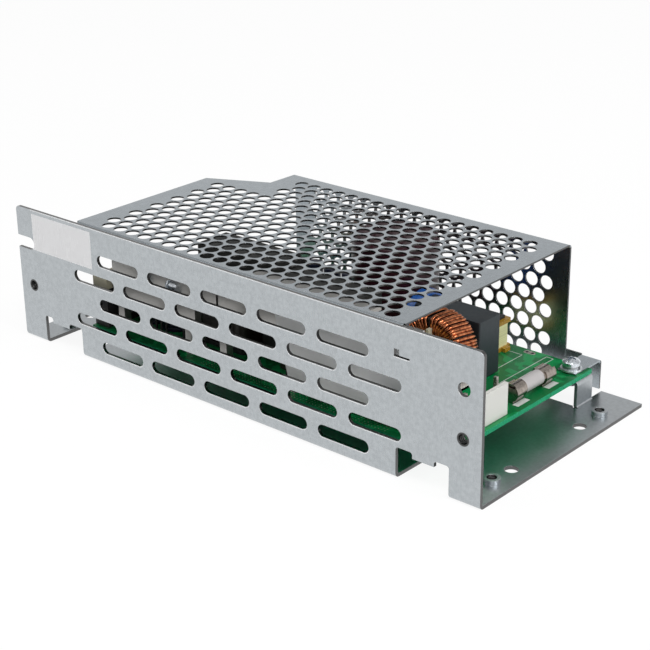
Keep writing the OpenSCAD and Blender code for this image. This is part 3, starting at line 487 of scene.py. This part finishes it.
def wound_ring(name, node, centre, axis, inner, outer, half, wire, angles, lean):
    """Turns of round wire on a ring core, wire being the wire's radius; the piece replaces the node.

    Each turn follows the superellipse |u|^4.4 + |v|^4.4 = 1, with u from the ring's inner to its outer side
    and v along its axis. It leans by the angle lean from one face of the ring to the other, and sits a
    little off its own angle at random. Every second turn lies most of a wire deeper in the hole.
    """
    along_turn, round_wire, power, stagger, scatter = 44, 10, 4.4, 1.7, 0.022
    axis, first, second = cross_axes(axis)
    t = np.linspace(0, 2 * np.pi, along_turn, endpoint=False)
    u = np.sign(np.cos(t)) * np.abs(np.cos(t)) ** (2 / power)
    v = np.sign(np.sin(t)) * np.abs(np.sin(t)) ** (2 / power)
    n = len(angles)
    inner = inner - stagger * wire * (np.arange(n) % 2)
    radius = (inner + outer)[:, None] / 2 + u[None, :] * (outer - inner)[:, None] / 2
    swing = (angles + rng.normal(0, scatter, n))[:, None] + lean * v[None, :] / 2
    radial = np.cos(swing)[..., None] * first + np.sin(swing)[..., None] * second
    paths = centre + radius[..., None] * radial + (half * v)[None, :, None] * axis
    along = unit(np.roll(paths, -1, 1) - np.roll(paths, 1, 1))
    side = -np.sin(swing)[..., None] * first + np.cos(swing)[..., None] * second
    side = unit(side - (side * along).sum(2, keepdims=True) * along)
    out = np.cross(side, along)
    a = np.linspace(0, 2 * np.pi, round_wire, endpoint=False)[:, None]
    points = paths[:, :, None] + wire * (np.cos(a) * side[:, :, None] + np.sin(a) * out[:, :, None])
    faces = many(tube_faces(along_turn, round_wire, True), n, along_turn * round_wire)[:, ::-1].tolist()
    piece = add_mesh(name, points, faces, "enamelled_copper")
    # The crest attribute places the painted shade between turns in the copper's finish
    crest = piece.data.attributes.new("crest", "FLOAT", "POINT")
    crest.data.foreach_set("value", np.tile(np.sin(a[:, 0]), n * along_turn))
    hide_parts(node)


def threads(name, centres, axis):
    """Ridges of a screw thread in the tapped holes, as a tube from each centre along the axis.

    The tube's radius is the hole's, less a trace of play, less a triangle wave that is 0 to a quarter of the
    pitch high and climbs by one pitch in each turn.
    """
    sides, steps_per_pitch, play, ridge = 32, 6, 0.01, 0.25 * THREAD_PITCH
    axis, first, second = cross_axes(axis)
    t = np.linspace(0, 2 * np.pi, sides, endpoint=False)
    steps = np.linspace(0, THREAD_DEPTH, int(round(THREAD_DEPTH / THREAD_PITCH * steps_per_pitch)) + 1)
    wave = (steps[:, None] / THREAD_PITCH - t[None, :] / (2 * np.pi)) % 1
    radius = THREAD_R - play - ridge * (1 - np.abs(2 * wave - 1))
    ring = radius[..., None] * (np.cos(t)[:, None] * first + np.sin(t)[:, None] * second)
    points = np.asarray(centres, float)[:, None, None] + ring + steps[:, None, None] * axis
    faces = many(tube_faces(len(steps), sides, False)[:, ::-1], len(centres), len(steps) * sides).tolist()
    add_mesh(name, points, faces, "spring_steel", THREAD)


def plates(name, outlines, low, high, slot, finish=None, upright=False):
    """Thin flat pieces from k outlines of n points, (k, n, 2), anticlockwise from the side that they face.

    Lying ones take X and Y, face up, and fill low to high in Z. Upright ones take X and Z, face the front
    (-Y), and fill low to high in Y.
    """
    outlines = np.asarray(outlines, float)
    k, n, _ = outlines.shape
    levels = np.array([high, low] if upright else [low, high])
    flat = np.broadcast_to(outlines[:, None], (k, 2, n, 2))
    level = np.broadcast_to(levels[None, :, None], (k, 2, n))
    order = [flat[..., 0], level, flat[..., 1]] if upright else [flat[..., 0], flat[..., 1], level]
    caps = np.stack([np.arange(n)[::-1], np.arange(n) + n])
    faces = many(tube_faces(2, n, False), k, 2 * n).tolist() + many(caps, k, 2 * n).tolist()
    add_mesh(name, np.stack(order, -1), faces, slot, finish, smooth=False)


def on_board(name, outlines, height, slot, finish=None):
    """Thin flat pieces that lie on the circuit board."""
    plates(name, outlines, BOARD_Z1, BOARD_Z1 + height, slot, finish)


def rectangles(boxes):
    """Outlines of rectangles given as x0, x1, y0, y1."""
    x0, x1, y0, y1 = np.asarray(boxes, float).T
    return np.stack([np.stack(c, -1) for c in ((x0, y0), (x1, y0), (x1, y1), (x0, y1))], 1)


def strokes(ends, width):
    """Outlines of straight strokes, each given as xa, ya, xb, yb."""
    ends = np.asarray(ends, float)
    a, b = ends[:, :2], ends[:, 2:]
    along = unit(b - a) * width / 2
    side = along[:, ::-1] * (-1, 1)
    return np.stack([a - along - side, b + along - side, b + along + side, a - along + side], 1)


def discs(centres, radius, sides):
    """Outlines of discs round centres."""
    a = np.linspace(0, 2 * np.pi, sides, endpoint=False)
    return np.asarray(centres, float)[:, None, :] + radius * np.stack([np.cos(a), np.sin(a)], -1)[None]


def round_cornered(centre, half_x, half_y, radius):
    """Outline of a rectangle with round corners, their centres half_x and half_y from the rectangle's."""
    arcs = []
    for quarter, (sx, sy) in enumerate(((1, 1), (-1, 1), (-1, -1), (1, -1))):
        a = np.linspace(0, np.pi / 2, 6) + quarter * np.pi / 2
        corner = (centre[0] + sx * half_x, centre[1] + sy * half_y)
        arcs.append(corner + radius * np.stack([np.cos(a), np.sin(a)], -1))
    return np.concatenate(arcs)[None]


# Copper turns on the two chokes; those of the input choke lie in two groups

left_turns, right_turns = np.linspace(101.5, 248.5, 22), np.linspace(86, -68, 25)
wound_ring("input_choke_wire", "choke_windings", np.array([BOARD_X1 - 31.8, 42.4, BOARD_Z1 + 12.9]),
           axis=(0, -1, 0), inner=5.6, outer=11.3, half=5.0, wire=0.6,
           angles=np.radians(np.concatenate([left_turns, right_turns])), lean=np.radians(7))
wound_ring("output_choke_wire", "output_choke_winding", np.array([52.5, 48.5, BOARD_Z1 + 5]),
           axis=(0, 0, 1), inner=4.1, outer=9.5, half=4.5, wire=0.48,
           angles=np.radians(np.arange(30) * 11.0), lean=np.radians(11))

# Threads in the tapped holes of the base's wings and of the ears, set in a little from the sheet's face

THREAD_START = 0.05
ears = (EAR_INSET, PANEL_L - EAR_INSET)
threads("base_threads", [(x, y, THREAD_START) for x in ears for y in BASE_THREAD_Y], (0, 0, 1))
threads("ear_threads", [(x, THREAD_START, EAR_THREAD_Z) for x in ears], (0, 1, 0))

# Pale carrier under the input choke

on_board("choke_carrier", round_cornered((157.5, 40.8), 7.5, 3.8, 2), 0.95, "white_nylon")

# Bare label on the front of the primary heatsink, behind the slots

SINK_Y0 = 6.7
LABEL_T = 0.08
plates("heatsink_label", [[(124, 16.2), (175.6, 16.2), (175.6, 40), (118, 40)]], SINK_Y0 - LABEL_T, SINK_Y0,
       "white_nylon", LABEL, upright=True)

# Print and pads on the board

PRINT_T = 0.03
PAD_T = 0.04
VIA_PITCH = 1.27
lines = [(165.4, 61.5, 165.4, 77.2), (150, 77.2, 165.4, 77.2), (172.6, 52, 172.6, 81),
         (175.3, 52, 175.3, 81), (172.6, 52, 175.3, 52), (172.6, 81, 175.3, 81)]
blocks = [(185.0, 187.2, 43.4, 50.0), (185.0, 187.2, 60.5, 66.3)]
on_board("board_print_lines", strokes(lines, 0.25), PRINT_T, "white_nylon", INK)
on_board("board_print_blocks", rectangles(blocks), PRINT_T, "white_nylon", INK)
via_rows = 4 + VIA_PITCH * np.arange(3)
vias = np.stack(np.meshgrid(np.arange(87, 166, VIA_PITCH), via_rows), -1).reshape(-1, 2)
on_board("board_vias", discs(vias, 0.24, 8), PAD_T, "tin_plate")
# A disc that is drawn out by 1 to each side, with two black discs as painted shade in its holes
pad_x, pad_y = 166.3, 80.4
pad = discs([(pad_x, pad_y)], 1.25, 24)
pad[..., 0] += np.sign(pad[..., 0] - pad_x)
on_board("board_pad", pad, PAD_T, "tin_plate")
pad_hole_shades = [(pad_x - 1.1, pad_y), (pad_x + 1.1, pad_y)]
on_board("board_pad_hole_shades", discs(pad_hole_shades, 0.55, 16), PAD_T + 0.02, "black_plastic")

# Camera, as fitted to the photograph

camera = bpy.data.objects.new("camera", bpy.data.cameras.new("camera"))
camera.location = (0.334809, -0.375588, 0.228212)
camera.rotation_euler = Euler(np.radians((67.1734, 0.6806, 41.1005)), "XYZ")
camera.data.lens = 87.951
camera.data.sensor_width = 36
scene.collection.objects.link(camera)
scene.camera = camera
scene.view_settings.view_transform = "Standard"


# White surroundings

def shows_white(tree):
    """1 for rays from the camera, from metal and through glass, and 0 for the light on matt surfaces."""
    camera_ray, glossy, through = (tree.node("ShaderNodeLightPath", output="Is " + kind + " Ray")
                                   for kind in ("Camera", "Glossy", "Transmission"))
    seen = tree.node("ShaderNodeMath", {"operation": "MAXIMUM"}, {0: camera_ray, 1: glossy})
    return tree.node("ShaderNodeMath", {"operation": "MAXIMUM"}, {0: seen, 1: through})


# A studio whose ceiling is greyer than its walls, and which lights less than it shows
CEILING_GREY = 0.55
STUDIO_LIGHT = 0.6
world = bpy.data.worlds.new("studio")
world.use_nodes = True
scene.world = world
sky = Tree(world.node_tree)
background = sky.nodes["Background"]
direction = sky.node("ShaderNodeTexCoord", output="Generated")
up = sky.node("ShaderNodeSeparateXYZ", {}, {"Vector": direction}, "Z")
sky.feed(background.inputs["Color"], sky.node("ShaderNodeMapRange", {}, {
    "Value": up, "From Min": 0.2, "From Max": 0.5, "To Min": 1.0, "To Max": CEILING_GREY}))
sky.feed(background.inputs["Strength"], sky.node("ShaderNodeMapRange", {}, {
    "Value": shows_white(sky), "To Min": STUDIO_LIGHT, "To Max": 1.0}))

# A floor of matt paper that keeps the object's shadow, under a white glow that matt surfaces don't get
FLOOR_HALF = 4          # metres
GLOW_STRENGTH = 1.04
GLOW_SHARE = 0.86
corners = np.array([(-1, -1, 0), (1, -1, 0), (1, 1, 0), (-1, 1, 0)], float)
floor_mesh = bpy.data.meshes.new("floor")
floor_mesh.from_pydata(corners * FLOOR_HALF, [], [(0, 1, 2, 3)])
floor = bpy.data.objects.new("floor", floor_mesh)
scene.collection.objects.link(floor)
paper = Finish("white_paper", Roughness=0.9, Specular_IOR_Level=0)
paper.set("Base Color", rgba((0.82, 0.82, 0.82)))
matt = Value(paper, paper.shader.outputs[0])
glow = paper.node("ShaderNodeEmission", {}, {"Strength": GLOW_STRENGTH})
paper.feed(paper.nodes["Material Output"].inputs["Surface"], paper.node("ShaderNodeMixShader", {}, {
    0: shows_white(paper) * GLOW_SHARE, 1: matt, 2: glow}))
floor_mesh.materials.append(paper.material)

# Lamps: name, place and size in metres, and power in watts

AIM = Vector((0, 0, 0.02))
for name, place, size, power in (("key_light", (0.7, -0.8, 1.7), 0.6, 14),
                                 ("right_light", (1.4, 0.0, 1.1), 0.7, 11),
                                 ("fill_light", (-0.8, -0.8, 1.6), 1.0, 5)):
    lamp = bpy.data.objects.new(name, bpy.data.lights.new(name, "AREA"))
    lamp.data.energy = power
    lamp.data.size = size
    lamp.location = place
    lamp.rotation_euler = (AIM - Vector(place)).to_track_quat("-Z", "Y").to_euler()
    scene.collection.objects.link(lamp)
